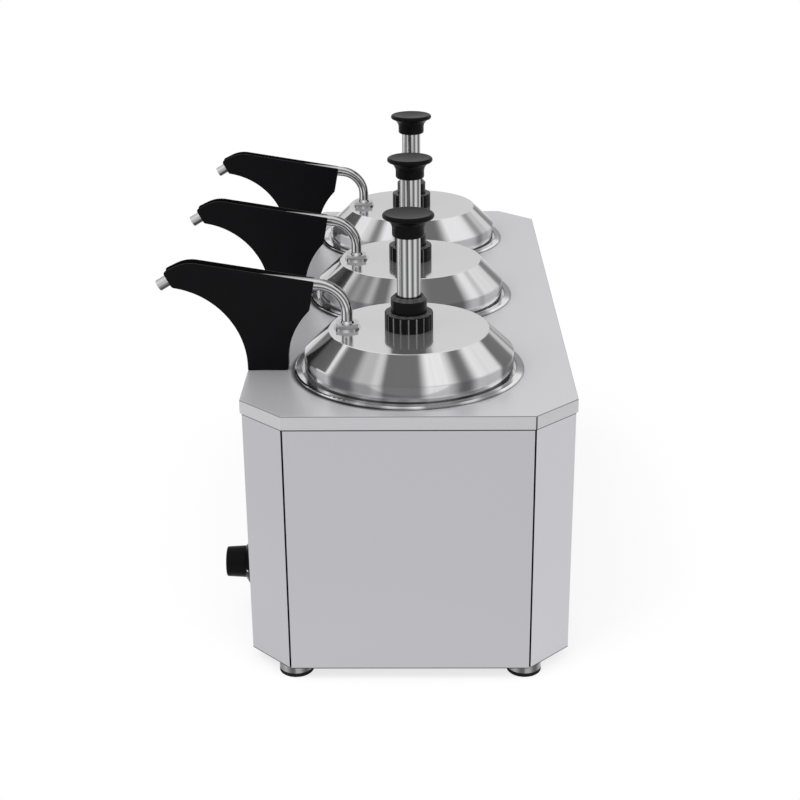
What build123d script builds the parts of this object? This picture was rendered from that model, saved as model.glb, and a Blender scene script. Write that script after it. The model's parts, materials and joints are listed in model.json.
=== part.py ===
from build123d import *
import os
from math import cos, radians, sin, sqrt, tan

# Three-well hot topping warmer with a pump and a heated spout on each well.
# All sizes are millimetres. +X runs along the row of wells, the spouts point
# to -Y and +Z is up. Z = 0 is the table. Every piece is drawn with the line of
# the well axes at Y = 0, and is moved to its place by write(), which puts
# the origin in the middle of the whole object's footprint.

# ---- cabinet -------------------------------------------------------------
LENGTH = 603.0
WIDTH = 263.4
CORNER_CUT = 34.7
FOOT_HEIGHT = 10.0
BODY_HEIGHT = 221.0
SKIRT_HEIGHT = 11.0
DECK_SHEET = 1.2
DECK_EDGE_RADIUS = 0.8
PANEL_SHEET = 1.0
PANEL_GAP = 0.2
SEAM = 0.9
END_FLANGE = 12.0
BASE_FLANGE = 14.0
DECK_TOP = FOOT_HEIGHT + BODY_HEIGHT
DECK_UNDER = DECK_TOP - DECK_SHEET
PANEL_INSET = DECK_SHEET + PANEL_GAP
PANEL_TOP = DECK_UNDER - 0.5
PANEL_Y = WIDTH / 2 - PANEL_INSET
PANEL_X = LENGTH / 2 - PANEL_INSET
END_HALF_WIDTH = WIDTH / 2 - CORNER_CUT

# ---- stations ------------------------------------------------------------
PITCH = 195.5
STATIONS = {"left": -PITCH, "middle": 0.0, "right": PITCH}
CLEAR = 0.3

# ---- well and jar --------------------------------------------------------
HOLE_RADIUS = 89.4
LINER_SHEET = 1.0
LINER_FLANGE_RADIUS = 95.6
LINER_DEPTH = 190.0
JAR_SHEET = 0.9
JAR_RADIUS = 80.0
JAR_DEPTH = 185.0
JAR_FLOOR_BEND = 9.0
JAR_COLLAR_RADIUS = 88.4
LEDGE_DROP = 2.8
RIM_RADIUS = 93.8
RIM_HEIGHT = 2.3
RIM_ROUND = 1.5
RIM_INNER_ROUND = 0.6
RIM_UNDER_ROUND = 0.5
JAR_LEDGE_BEND = 0.8
LINER_BOTTOM = DECK_TOP - LINER_DEPTH
JAR_BOTTOM = DECK_TOP - JAR_DEPTH
LEDGE_Z = DECK_TOP - LEDGE_DROP
RIM_BOTTOM = DECK_TOP + CLEAR

# ---- lid -----------------------------------------------------------------
LID_SHEET = 0.9
LID_RADIUS = 85.2
LID_DISC_RADIUS = 65.0
LID_HEIGHT = 34.7
LID_SHOULDER_HEIGHT = 15.6
LID_DISC_BEND = 1.6
LID_SHOULDER_BEND = 1.6
LID_TOP = DECK_TOP + LID_HEIGHT
LID_UNDER = LID_TOP - LID_SHEET
LID_SHOULDER = DECK_TOP + LID_SHOULDER_HEIGHT
LID_BOTTOM = LEDGE_Z + CLEAR

# ---- pump ----------------------------------------------------------------
STROKE = 40.0
SPRING_PRESSED = 16.0
PLUNGER_RADIUS = 9.5
PLUNGER_WALL = 1.2
GUIDE_RADIUS = PLUNGER_RADIUS + CLEAR
CYLINDER_RADIUS = 17.0
CYLINDER_WALL = 1.5
CYLINDER_DEPTH = 160.0
NECK_RADIUS = 13.4
NECK_HEIGHT = 12.0
FLANGE_RADIUS = 20.0
FLANGE_HEIGHT = 2.0
STOP_RADIUS = 14.5
STOP_HEIGHT = 3.0
PISTON_RADIUS = CYLINDER_RADIUS - CYLINDER_WALL - 0.1
PISTON_HEIGHT = 14.0
PISTON_REST = STROKE + SPRING_PRESSED
PISTON_LIP = 1.6
PISTON_SPIGOT = 8.0
SPRING_WIRE = 1.6
SPRING_RADIUS = 12.0
SPRING_TURNS = 7
CYLINDER_BOTTOM = DECK_TOP - CYLINDER_DEPTH
CYLINDER_TOP = LID_UNDER
PISTON_BOTTOM = CYLINDER_BOTTOM + PISTON_REST
PISTON_TOP = PISTON_BOTTOM + PISTON_HEIGHT

COLLAR_RADIUS = 19.6
COLLAR_HEIGHT = 13.6
COLLAR_GROOVES = 18
COLLAR_GROOVE_RADIUS = 1.3
COLLAR_CHAMFER = 0.5
CAP_RADIUS = 14.6
CAP_HEIGHT = 27.2
CAP_CHAMFER = 2.6
CAP_COUNTERSINK = 1.6
COLLAR_TOP = LID_TOP + CAP_HEIGHT

KNOB_RADIUS = 20.7
KNOB_SHANK_RADIUS = 13.0
KNOB_HEIGHT = 19.0
KNOB_RIM = 4.0
KNOB_DISH = 1.2
KNOB_ROUND = 2.0
KNOB_SHANK_LENGTH = 6.5
KNOB_FLARE = 9.0
KNOB_SOCKET = 11.0
KNOB_BOTTOM = DECK_TOP + 110.8
KNOB_TOP = KNOB_BOTTOM + KNOB_HEIGHT
KNOB_DISH_REACH = KNOB_RADIUS - KNOB_RIM / 2
KNOB_DISH_RADIUS = (KNOB_DISH_REACH**2 + KNOB_DISH**2) / (2 * KNOB_DISH)

VALVE_RADIUS = 20.0
VALVE_HEIGHT = 28.0
VALVE_SEAT = 10.0
VALVE_FLOOR = 4.0
VALVE_CHAMBER_RADIUS = 10.0
INLET_RADIUS = 5.0
OUTLET_RADIUS = 3.0
OUTLET_HEIGHT = 8.0
ARM_WIDTH = 13.0
ARM_HEIGHT = 15.0
SOCKET_RADIUS = 7.5
VALVE_BOTTOM = CYLINDER_BOTTOM + VALVE_SEAT - VALVE_HEIGHT

# ---- discharge tube: vertical run, sloped run in the cover, turned-down tip
TUBE_RADIUS = 4.75
TUBE_WALL = 0.9
TUBE_Y = -50.0
TUBE_ELBOW_Y = -181.4
TUBE_TIP_Y = -200.6
TUBE_TIP_HEIGHT = 70.8
TUBE_SLOPE = 6.0
TIP_SLOPE = 31.0
TUBE_BEND = 24.0
TIP_BEND = 20.0
TUBE_ELBOW_Z = DECK_TOP + TUBE_TIP_HEIGHT + (TUBE_ELBOW_Y - TUBE_TIP_Y) * tan(radians(TIP_SLOPE))
TUBE_CORNER_Z = TUBE_ELBOW_Z - (TUBE_Y - TUBE_ELBOW_Y) * tan(radians(TUBE_SLOPE))
TUBE_BOTTOM = VALVE_BOTTOM + 11.5
NUT_FLATS = 18.0
NUT_HEIGHT = 4.6
NUT_WASHER_RADIUS = 10.8
NUT_WASHER_HEIGHT = 1.3
NUT_NECK_RADIUS = 6.8
NUT_NECK_DEPTH = 7.0
NUT_FERRULE_RADIUS = 6.6
NUT_FERRULE_HEIGHT = 2.0
NUT_FERRULE_TAPER = 25.0

# ---- spout cover ---------------------------------------------------------
COVER_THICKNESS = 13.2
COVER_WALL = 1.5
COVER_EDGE_ROUND = 0.8
COVER_FOOT = 10.0
COVER_SLOT = COVER_THICKNESS - 2 * COVER_WALL
COVER_LEG_FRONT = -131.6
COVER_LEG_BACK = -98.4
COVER_FRONT_SWEEP = 67.2
COVER_BACK_SWEEP = 62.5
COVER_FRONT_START = 3.9
COVER_BACK_START = 6.5
COVER_TOE_ANGLE = 82.0
COVER_HEEL_ANGLE = 45.0
COVER_BACK_TOP = (-75.6, 75.0)
COVER_CROWN = (-178.2, 92.0)
COVER_NOSE_TOP = (-196.2, 83.2)
COVER_CROWN_RADIUS = 28.0
COVER_NOSE_RADIUS = 2.5
COVER_CHIN_RADIUS = 3.5
COVER_TOE_RADIUS = 1.0
COVER_HEEL_RADIUS = 2.0
COVER_CORNER_RADIUS = 1.2
COVER_MOUTH_Y = -186.5
COVER_SCREW_Y = (-122.5, -107.5)
COVER_WIRE_Y = -115.0
COVER_WIRE_RADIUS = 3.5
HEATER_BAR_HEIGHT = 8.0
HEATER_BAR_GAP = 0.6
HEATER_BAR_START = -84.0
HEATER_BAR_END = -160.0

# ---- heaters and controls ------------------------------------------------
BAND_THICKNESS = 2.5
BAND_HEIGHT = 60.0
BAND_BOTTOM = LINER_BOTTOM + 24.0
BAND_GAP = 6.0
LUG_LENGTH = 10.0
LUG_THICKNESS = 2.0
CONTROL_HEIGHT = FOOT_HEIGHT + 42.6
THERMOSTAT_WIDTH = 38.0
THERMOSTAT_HEIGHT = 32.0
THERMOSTAT_DEPTH = 28.0
THERMOSTAT_NECK = 5.0
THERMOSTAT_NECK_LENGTH = 8.5
THERMOSTAT_NUT_FLATS = 14.0
THERMOSTAT_NUT_HEIGHT = 3.0
KNOB_RECESS_RADIUS = 9.5
KNOB_RECESS_DEPTH = 10.5
SPINDLE_RADIUS = 3.0
SPINDLE_DEPTH = 3.0
DIAL_RADIUS = 20.8
DIAL_BASE = 2.0
DIAL_RIM = 6.4
DIAL_FACE = 11.2
GRIP_BASE_RADIUS = 13.7
GRIP_END_RADIUS = 12.8
GRIP_LENGTH = 28.3
GRIP_DOME = 0.8
GRIP_ROUND = 1.2

# ---- rear fittings -------------------------------------------------------
GLAND_X = -215.0
GLAND_HEIGHT = FOOT_HEIGHT + 32.0
GLAND_BORE = 4.2
GLAND_THREAD = 8.0
GLAND_FLATS = 22.0
GLAND_FLANGE = 5.0
GLAND_CAP = 12.0
GLAND_CAP_STEP = 1.0
GLAND_CAP_FACE = 3.0
GLAND_CAP_ROUND = 2.0
GLAND_TAIL = 10.0
GLAND_NUT_HEIGHT = 5.0
SWITCH_X = -150.0
SWITCH_HEIGHT = FOOT_HEIGHT + 40.0
SWITCH_WIDTH = 20.4
SWITCH_LENGTH = 28.0
SWITCH_LIP = 4.6
SWITCH_BEZEL = 2.0
SWITCH_DEPTH = 24.0
SWITCH_POCKET = 11.0
ROCKER_WIDTH = 14.0
ROCKER_LENGTH = 24.0
ROCKER_FACE = 4.0
ROCKER_DEPTH = 6.0
ROCKER_ANGLE = 9.0
PIN_RADIUS = 1.5
PIN_LENGTH = 18.0
BLOCK_X = -PITCH / 2
BLOCK_Y = 60.0
BLOCK_SIZE = (56.0, 22.0, 18.0)
BLOCK_POLES = 4
BLOCK_RIB = 1.6
BLOCK_STEP = 6.0

# ---- feet and screws -----------------------------------------------------
FOOT_X = 283.5
FOOT_Y = 93.0
FOOT_RADIUS = 14.0
PAD_HEIGHT = 3.6
PAD_CHAMFER = 0.5
PAD_PLUG_RADIUS = 12.4
PAD_PLUG_HEIGHT = 3.0
CUP_BEND = 1.2
STUD_RADIUS = 4.0
STUD_TOP = FOOT_HEIGHT + 10.0
SCREW_RADIUS = 1.9
SCREW_HEAD_RADIUS = 3.8
SCREW_HEAD_HEIGHT = 2.2
SCREW_SLOT = 1.0
SCREW_LENGTH = 9.0
BASE_SCREW_X = (-230.0, -60.0, 60.0, 230.0)
BASE_SCREW_Y = PANEL_Y - PANEL_SHEET - BASE_FLANGE / 2
BASE_SCREWS = [(x, y) for x in BASE_SCREW_X for y in (-BASE_SCREW_Y, BASE_SCREW_Y)]
COVER_SCREWS = [(x, y) for x in STATIONS.values() for y in COVER_SCREW_Y]
FEET = [(x, y) for x in (-FOOT_X, FOOT_X) for y in (-FOOT_Y, FOOT_Y)]
VENT_LENGTH = 40.0
VENT_WIDTH = 5.0
VENT_PITCH = 14.0
VENT_ROWS = 5

# ---- place in the footprint ----------------------------------------------
FRONT_REACH = -TUBE_TIP_Y + TUBE_RADIUS * sin(radians(TIP_SLOPE))
BACK_REACH = PANEL_Y + GLAND_FLANGE + GLAND_CAP
WELL_LINE_Y = (FRONT_REACH - BACK_REACH) / 2

os.makedirs("parts", exist_ok=True)


def write(builder, label, x=0.0):
    """Move a finished piece to its place, name it and write it."""
    piece = builder.part.moved(Location((x, WELL_LINE_Y, 0)))
    piece.label = label
    export_step(piece, f"parts/{label}.step")


def write_at_stations(builder, name):
    """Write one copy of a piece for each well."""
    for station, x in STATIONS.items():
        write(builder, f"{name}_{station}", x)


def octagon(inset):
    """Corners of the cabinet's plan outline, moved in by inset."""
    x = LENGTH / 2 - inset
    y = WIDTH / 2 - inset
    cut = CORNER_CUT - inset * (2 - sqrt(2))
    quarter = [(x, y - cut), (x - cut, y)]
    left = [(-px, py) for px, py in reversed(quarter)]
    return quarter + left + [(-px, -py) for px, py in quarter] + [(px, -py) for px, py in reversed(quarter)]


def facing(x, y, z, direction):
    """Plane at a point, whose normal is direction and whose X is the world's X."""
    return Plane(origin=(x, y, z), x_dir=(1, 0, 0), z_dir=direction)


# ==== cabinet =============================================================
with BuildPart() as deck:
    with BuildSketch(Plane.XY.offset(DECK_TOP)):
        with BuildLine():
            Polyline(*octagon(0), close=True)
        make_face()
    extrude(amount=-SKIRT_HEIGHT)
    fillet(deck.faces().sort_by(Axis.Z)[-1].edges(), DECK_EDGE_RADIUS)
    with BuildSketch(Plane.XY.offset(DECK_TOP - SKIRT_HEIGHT)):
        with BuildLine():
            Polyline(*octagon(DECK_SHEET), close=True)
        make_face()
    extrude(amount=SKIRT_HEIGHT - DECK_SHEET, mode=Mode.SUBTRACT)
    with BuildSketch(Plane.XY.offset(DECK_TOP)):
        for x in STATIONS.values():
            with Locations((x, 0)):
                Circle(HOLE_RADIUS)
            with Locations((x, COVER_WIRE_Y)):
                Circle(COVER_WIRE_RADIUS)
        with Locations(*COVER_SCREWS):
            Circle(SCREW_RADIUS + CLEAR)
    extrude(amount=-DECK_SHEET, mode=Mode.SUBTRACT)
write(deck, "deck")

# The front and the rear panel each wrap round two cut corners. A flange
# along the bottom of each takes the base screws.
with BuildPart() as wrap:
    with BuildSketch(Plane.XY.offset(FOOT_HEIGHT)):
        with BuildLine():
            Polyline(*octagon(PANEL_INSET), close=True)
        make_face()
        with BuildLine():
            Polyline(*octagon(PANEL_INSET + PANEL_SHEET), close=True)
        make_face(mode=Mode.SUBTRACT)
        with Locations((0, -WIDTH / 2)):
            Rectangle(LENGTH, WIDTH - 2 * END_HALF_WIDTH - SEAM, mode=Mode.INTERSECT)
    extrude(amount=PANEL_TOP - FOOT_HEIGHT)
    with BuildSketch(Plane.XY.offset(FOOT_HEIGHT + PANEL_SHEET + CLEAR)):
        with Locations((0, -PANEL_Y)):
            Rectangle(LENGTH - 2 * CORNER_CUT - SEAM, BASE_FLANGE, align=(Align.CENTER, Align.MIN))
    extrude(amount=PANEL_SHEET)
    with Locations(*[(x, y, FOOT_HEIGHT) for x, y in BASE_SCREWS if y < 0]):
        Cylinder(SCREW_RADIUS, BASE_FLANGE, mode=Mode.SUBTRACT)

with BuildPart() as front_panel:
    add(wrap.part)
    with Locations(*[facing(x, -PANEL_Y, CONTROL_HEIGHT, (0, -1, 0)) for x in STATIONS.values()]):
        Cylinder(THERMOSTAT_NECK + CLEAR, 4 * PANEL_SHEET, mode=Mode.SUBTRACT)
write(front_panel, "front_panel")

with BuildPart() as rear_panel:
    mirror(wrap.part, about=Plane.XZ)
    with Locations(facing(GLAND_X, PANEL_Y, GLAND_HEIGHT, (0, 1, 0))):
        Cylinder(GLAND_THREAD + CLEAR, 4 * PANEL_SHEET, mode=Mode.SUBTRACT)
    with Locations(facing(SWITCH_X, PANEL_Y, SWITCH_HEIGHT, (0, 1, 0))):
        Box(SWITCH_WIDTH, SWITCH_LENGTH, 4 * PANEL_SHEET, mode=Mode.SUBTRACT)
write(rear_panel, "rear_panel")

with BuildPart() as end_panel_right:
    with BuildSketch(Plane.XY.offset(FOOT_HEIGHT)):
        with BuildLine():
            FilletPolyline(
                (PANEL_X - END_FLANGE, -END_HALF_WIDTH + SEAM),
                (PANEL_X, -END_HALF_WIDTH + SEAM),
                (PANEL_X, END_HALF_WIDTH - SEAM),
                (PANEL_X - END_FLANGE, END_HALF_WIDTH - SEAM),
                radius=[DECK_EDGE_RADIUS, DECK_EDGE_RADIUS],
            )
            offset(amount=PANEL_SHEET, side=Side.LEFT)
        make_face()
    extrude(amount=PANEL_TOP - FOOT_HEIGHT)
    with BuildSketch(Plane.XY.offset(FOOT_HEIGHT)):
        with Locations((PANEL_X - PANEL_SHEET, 0)):
            Rectangle(END_FLANGE, WIDTH, align=(Align.MAX, Align.CENTER))
    extrude(amount=PANEL_SHEET + CLEAR, mode=Mode.SUBTRACT)
write(end_panel_right, "end_panel_right")

with BuildPart() as end_panel_left:
    mirror(end_panel_right.part, about=Plane.YZ)
write(end_panel_left, "end_panel_left")

with BuildPart() as base_pan:
    with BuildSketch(Plane.XY.offset(FOOT_HEIGHT)):
        with BuildLine():
            Polyline(*octagon(PANEL_INSET + PANEL_SHEET + CLEAR), close=True)
        make_face()
        with Locations(*BASE_SCREWS):
            Circle(SCREW_RADIUS, mode=Mode.SUBTRACT)
        with Locations(*FEET):
            Circle(STUD_RADIUS, mode=Mode.SUBTRACT)
        with Locations(*[(x, 0) for x in STATIONS.values()]):
            with GridLocations(VENT_LENGTH * 1.2, VENT_PITCH, 2, VENT_ROWS):
                SlotOverall(VENT_LENGTH, VENT_WIDTH, mode=Mode.SUBTRACT)
    extrude(amount=PANEL_SHEET)
write(base_pan, "base_pan")

# ==== feet and screws =====================================================
with BuildPart() as foot_cups:
    with BuildSketch(Plane.XY.offset(PAD_HEIGHT)):
        with Locations(*FEET):
            Circle(FOOT_RADIUS)
    extrude(amount=FOOT_HEIGHT - PAD_HEIGHT)
    fillet(foot_cups.faces().group_by(Axis.Z)[-1].edges(), CUP_BEND)
    with BuildSketch(Plane.XY.offset(PAD_HEIGHT)):
        with Locations(*FEET):
            Circle(PAD_PLUG_RADIUS)
    extrude(amount=PAD_PLUG_HEIGHT, mode=Mode.SUBTRACT)
    with BuildSketch(Plane.XY.offset(FOOT_HEIGHT)):
        with Locations(*FEET):
            Circle(STUD_RADIUS)
    extrude(amount=STUD_TOP - FOOT_HEIGHT)
write(foot_cups, "foot_cups")

with BuildPart() as foot_pads:
    with BuildSketch():
        with Locations(*FEET):
            Circle(FOOT_RADIUS)
    extrude(amount=PAD_HEIGHT)
    chamfer(foot_pads.faces().group_by(Axis.Z)[0].edges(), PAD_CHAMFER)
    with BuildSketch(Plane.XY.offset(PAD_HEIGHT)):
        with Locations(*FEET):
            Circle(PAD_PLUG_RADIUS)
    extrude(amount=PAD_PLUG_HEIGHT)
write(foot_pads, "foot_pads")

# The same pan-head screw holds the base pan and the spout covers. All of them
# are put in from below.
with BuildPart() as screws:
    for seat, centres in ((FOOT_HEIGHT, BASE_SCREWS), (DECK_UNDER, COVER_SCREWS)):
        with BuildSketch(Plane.XY.offset(seat - SCREW_HEAD_HEIGHT)):
            with Locations(*centres):
                Circle(SCREW_HEAD_RADIUS)
        extrude(amount=SCREW_HEAD_HEIGHT)
        with BuildSketch(Plane.XY.offset(seat - SCREW_HEAD_HEIGHT)):
            with Locations(*centres):
                Rectangle(SCREW_HEAD_RADIUS, SCREW_SLOT)
                Rectangle(SCREW_SLOT, SCREW_HEAD_RADIUS)
        extrude(amount=SCREW_HEAD_HEIGHT / 2, mode=Mode.SUBTRACT)
        with BuildSketch(Plane.XY.offset(seat)):
            with Locations(*centres):
                Circle(SCREW_RADIUS)
        extrude(amount=SCREW_LENGTH)
write(screws, "screws")

# ==== well, jar and lid ===================================================
with BuildPart() as well_liner:
    with BuildSketch(Plane.XZ):
        with BuildLine():
            FilletPolyline(
                (LINER_FLANGE_RADIUS, DECK_UNDER),
                (HOLE_RADIUS, DECK_UNDER),
                (HOLE_RADIUS, LINER_BOTTOM + LINER_SHEET),
                (0, LINER_BOTTOM + LINER_SHEET),
                radius=[0, JAR_FLOOR_BEND],
            )
            offset(amount=LINER_SHEET, side=Side.LEFT)
        make_face()
    revolve(axis=Axis.Z)
write_at_stations(well_liner, "well_liner")

with BuildPart() as jar:
    with BuildSketch(Plane.XZ):
        with BuildLine():
            FilletPolyline(
                (JAR_COLLAR_RADIUS, RIM_BOTTOM + RIM_HEIGHT / 2),
                (JAR_COLLAR_RADIUS, LEDGE_Z - JAR_SHEET),
                (JAR_RADIUS, LEDGE_Z - JAR_SHEET),
                (JAR_RADIUS, JAR_BOTTOM),
                (0, JAR_BOTTOM),
                radius=[JAR_LEDGE_BEND, JAR_LEDGE_BEND, JAR_FLOOR_BEND],
            )
            offset(amount=JAR_SHEET, side=Side.RIGHT)
        make_face()
        with BuildLine():
            FilletPolyline(
                (JAR_COLLAR_RADIUS - JAR_SHEET, RIM_BOTTOM),
                (RIM_RADIUS, RIM_BOTTOM),
                (RIM_RADIUS, RIM_BOTTOM + RIM_HEIGHT),
                (JAR_COLLAR_RADIUS - JAR_SHEET, RIM_BOTTOM + RIM_HEIGHT),
                close=True,
                radius=[0, RIM_UNDER_ROUND, RIM_ROUND, RIM_INNER_ROUND],
            )
        make_face()
    revolve(axis=Axis.Z)
write_at_stations(jar, "jar")

with BuildPart() as lid:
    with BuildSketch(Plane.XZ):
        with BuildLine():
            FilletPolyline(
                (NECK_RADIUS + CLEAR, LID_TOP),
                (LID_DISC_RADIUS, LID_TOP),
                (LID_RADIUS, LID_SHOULDER),
                (LID_RADIUS, LID_BOTTOM),
                radius=[LID_DISC_BEND, LID_SHOULDER_BEND],
            )
            offset(amount=LID_SHEET, side=Side.RIGHT)
        make_face()
    revolve(axis=Axis.Z)
    with Locations((0, TUBE_Y, LID_TOP)):
        Cylinder(NUT_NECK_RADIUS + CLEAR, 4 * LID_SHEET, mode=Mode.SUBTRACT)
write_at_stations(lid, "lid")

# ==== pump ================================================================
# The collar clamps the neck of the cylinder to the lid. Its cap guides the
# plunger.
with BuildPart() as collar:
    with BuildSketch(Plane.XY.offset(LID_TOP)):
        Circle(COLLAR_RADIUS)
        with PolarLocations(COLLAR_RADIUS + COLLAR_GROOVE_RADIUS / 3, COLLAR_GROOVES):
            Circle(COLLAR_GROOVE_RADIUS, mode=Mode.SUBTRACT)
    extrude(amount=COLLAR_HEIGHT)
    chamfer(collar.faces().sort_by(Axis.Z)[-1].edges(), COLLAR_CHAMFER)
    with BuildSketch(Plane.XY.offset(LID_TOP + COLLAR_HEIGHT)):
        Circle(CAP_RADIUS)
    extrude(amount=CAP_HEIGHT - COLLAR_HEIGHT)
    chamfer(collar.faces().sort_by(Axis.Z)[-1].edges(), CAP_CHAMFER)
    with Locations((0, 0, COLLAR_TOP)):
        CounterSinkHole(GUIDE_RADIUS, GUIDE_RADIUS + CAP_COUNTERSINK, CAP_HEIGHT)
    with BuildSketch(Plane.XY.offset(LID_TOP)):
        Circle(NECK_RADIUS)
    extrude(amount=NECK_HEIGHT + CLEAR, mode=Mode.SUBTRACT)
write_at_stations(collar, "collar")

with BuildPart() as pump_cylinder:
    with BuildSketch(Plane.XZ):
        with BuildLine():
            Polyline(
                (CYLINDER_RADIUS, CYLINDER_BOTTOM),
                (CYLINDER_RADIUS, CYLINDER_TOP - FLANGE_HEIGHT),
                (FLANGE_RADIUS, CYLINDER_TOP - FLANGE_HEIGHT),
                (FLANGE_RADIUS, CYLINDER_TOP),
                (NECK_RADIUS, CYLINDER_TOP),
                (NECK_RADIUS, LID_TOP + NECK_HEIGHT),
                (GUIDE_RADIUS, LID_TOP + NECK_HEIGHT),
                (GUIDE_RADIUS, CYLINDER_TOP - FLANGE_HEIGHT),
                (CYLINDER_RADIUS - CYLINDER_WALL, CYLINDER_TOP - FLANGE_HEIGHT),
                (CYLINDER_RADIUS - CYLINDER_WALL, CYLINDER_BOTTOM),
                close=True,
            )
        make_face()
    revolve(axis=Axis.Z)
write_at_stations(pump_cylinder, "pump_cylinder")

with BuildPart() as valve_body:
    with BuildSketch(Plane.XY.offset(VALVE_BOTTOM)):
        Circle(VALVE_RADIUS)
    extrude(amount=VALVE_HEIGHT)
    with BuildSketch(Plane.XY.offset(VALVE_BOTTOM)):
        with Locations((0, TUBE_Y)):
            Rectangle(ARM_WIDTH, -TUBE_Y, align=(Align.CENTER, Align.MIN))
            Circle(SOCKET_RADIUS)
    extrude(amount=ARM_HEIGHT)
    with Locations((0, 0, VALVE_BOTTOM + VALVE_HEIGHT)):
        CounterBoreHole(VALVE_CHAMBER_RADIUS, CYLINDER_RADIUS, VALVE_SEAT, VALVE_HEIGHT - VALVE_FLOOR)
    with Locations((0, 0, VALVE_BOTTOM + VALVE_FLOOR)):
        CounterSinkHole(INLET_RADIUS, INLET_RADIUS + VALVE_FLOOR / 2, 2 * VALVE_FLOOR)
    with Locations((0, TUBE_Y, VALVE_BOTTOM + ARM_HEIGHT)):
        CounterBoreHole(
            TUBE_RADIUS - TUBE_WALL,
            TUBE_RADIUS,
            VALVE_BOTTOM + ARM_HEIGHT - TUBE_BOTTOM,
            ARM_HEIGHT - VALVE_FLOOR,
        )
    with BuildSketch(Plane.XZ.offset(-TUBE_Y)):
        with Locations((0, VALVE_BOTTOM + OUTLET_HEIGHT)):
            Circle(OUTLET_RADIUS)
    extrude(amount=TUBE_Y, mode=Mode.SUBTRACT)
write_at_stations(valve_body, "valve_body")

with BuildPart() as piston:
    with BuildSketch(Plane.XZ):
        with BuildLine():
            Polyline(
                (0, PISTON_BOTTOM + PISTON_LIP),
                (PISTON_RADIUS - 2 * PISTON_LIP, PISTON_BOTTOM + PISTON_LIP),
                (PISTON_RADIUS - PISTON_LIP, PISTON_BOTTOM),
                (PISTON_RADIUS, PISTON_BOTTOM),
                (PISTON_RADIUS, PISTON_BOTTOM + 2 * PISTON_LIP),
                (PISTON_RADIUS - PISTON_LIP, PISTON_BOTTOM + 3 * PISTON_LIP),
                (PISTON_RADIUS - PISTON_LIP, PISTON_TOP - 2 * PISTON_LIP),
                (PISTON_RADIUS, PISTON_TOP - PISTON_LIP),
                (PISTON_RADIUS, PISTON_TOP),
                (PLUNGER_RADIUS - PLUNGER_WALL, PISTON_TOP),
                (PLUNGER_RADIUS - PLUNGER_WALL, PISTON_TOP + PISTON_SPIGOT),
                (0, PISTON_TOP + PISTON_SPIGOT),
                close=True,
            )
        make_face()
    revolve(axis=Axis.Z)
write_at_stations(piston, "piston")

# A stop ring on the plunger meets the top of the cylinder when it is up.
with BuildPart() as plunger_tube:
    with BuildSketch(Plane.XY.offset(PISTON_TOP)):
        Circle(PLUNGER_RADIUS)
        Circle(PLUNGER_RADIUS - PLUNGER_WALL, mode=Mode.SUBTRACT)
    extrude(amount=KNOB_BOTTOM + KNOB_SOCKET - PISTON_TOP)
    with BuildSketch(Plane.XY.offset(CYLINDER_TOP - FLANGE_HEIGHT - CLEAR)):
        Circle(STOP_RADIUS)
        Circle(PLUNGER_RADIUS - PLUNGER_WALL, mode=Mode.SUBTRACT)
    extrude(amount=-STOP_HEIGHT)
write_at_stations(plunger_tube, "plunger_tube")

with BuildPart() as plunger_knob:
    with BuildSketch(Plane.XZ):
        with BuildLine():
            base = Line((PLUNGER_RADIUS, KNOB_BOTTOM), (KNOB_SHANK_RADIUS - KNOB_ROUND, KNOB_BOTTOM))
            heel = RadiusArc(base @ 1, (KNOB_SHANK_RADIUS, KNOB_BOTTOM + KNOB_ROUND), -KNOB_ROUND)
            shank = Line(heel @ 1, (KNOB_SHANK_RADIUS, KNOB_BOTTOM + KNOB_SHANK_LENGTH))
            flare = RadiusArc(shank @ 1, (KNOB_RADIUS - KNOB_RIM / 4, KNOB_TOP - KNOB_RIM), KNOB_FLARE)
            rim_middle = (KNOB_RADIUS, KNOB_TOP - KNOB_RIM / 2)
            rim = ThreePointArc(flare @ 1, rim_middle, (KNOB_DISH_REACH, KNOB_TOP))
            dish = RadiusArc(rim @ 1, (0, KNOB_TOP - KNOB_DISH), KNOB_DISH_RADIUS)
            Polyline(
                dish @ 1,
                (0, KNOB_BOTTOM + KNOB_SOCKET),
                (PLUNGER_RADIUS, KNOB_BOTTOM + KNOB_SOCKET),
                base @ 0,
            )
        make_face()
    revolve(axis=Axis.Z)
write_at_stations(plunger_knob, "plunger_knob")

SPRING_LENGTH = PISTON_REST - SPRING_WIRE
with BuildPart() as spring:
    with BuildLine(Plane.XY.offset(CYLINDER_BOTTOM + SPRING_WIRE / 2)):
        coil = Helix(SPRING_LENGTH / SPRING_TURNS, SPRING_LENGTH, SPRING_RADIUS)
    with BuildSketch(Plane(origin=coil @ 0, z_dir=coil % 0)):
        Circle(SPRING_WIRE / 2)
    sweep(is_frenet=True)
    split(bisect_by=Plane.XY.offset(CYLINDER_BOTTOM), keep=Keep.TOP)
    split(bisect_by=Plane.XY.offset(PISTON_BOTTOM), keep=Keep.BOTTOM)
write_at_stations(spring, "spring")

# ==== discharge tube ======================================================
with BuildPart() as discharge_tube:
    with BuildLine(Plane.YZ):
        FilletPolyline(
            (TUBE_Y, TUBE_BOTTOM),
            (TUBE_Y, TUBE_CORNER_Z),
            (TUBE_ELBOW_Y, TUBE_ELBOW_Z),
            (TUBE_TIP_Y, DECK_TOP + TUBE_TIP_HEIGHT),
            radius=[TUBE_BEND, TIP_BEND],
        )
    with BuildSketch(Plane.XY.offset(TUBE_BOTTOM)):
        with Locations((0, TUBE_Y)):
            Circle(TUBE_RADIUS)
            Circle(TUBE_RADIUS - TUBE_WALL, mode=Mode.SUBTRACT)
    sweep()
write_at_stations(discharge_tube, "discharge_tube")

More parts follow.
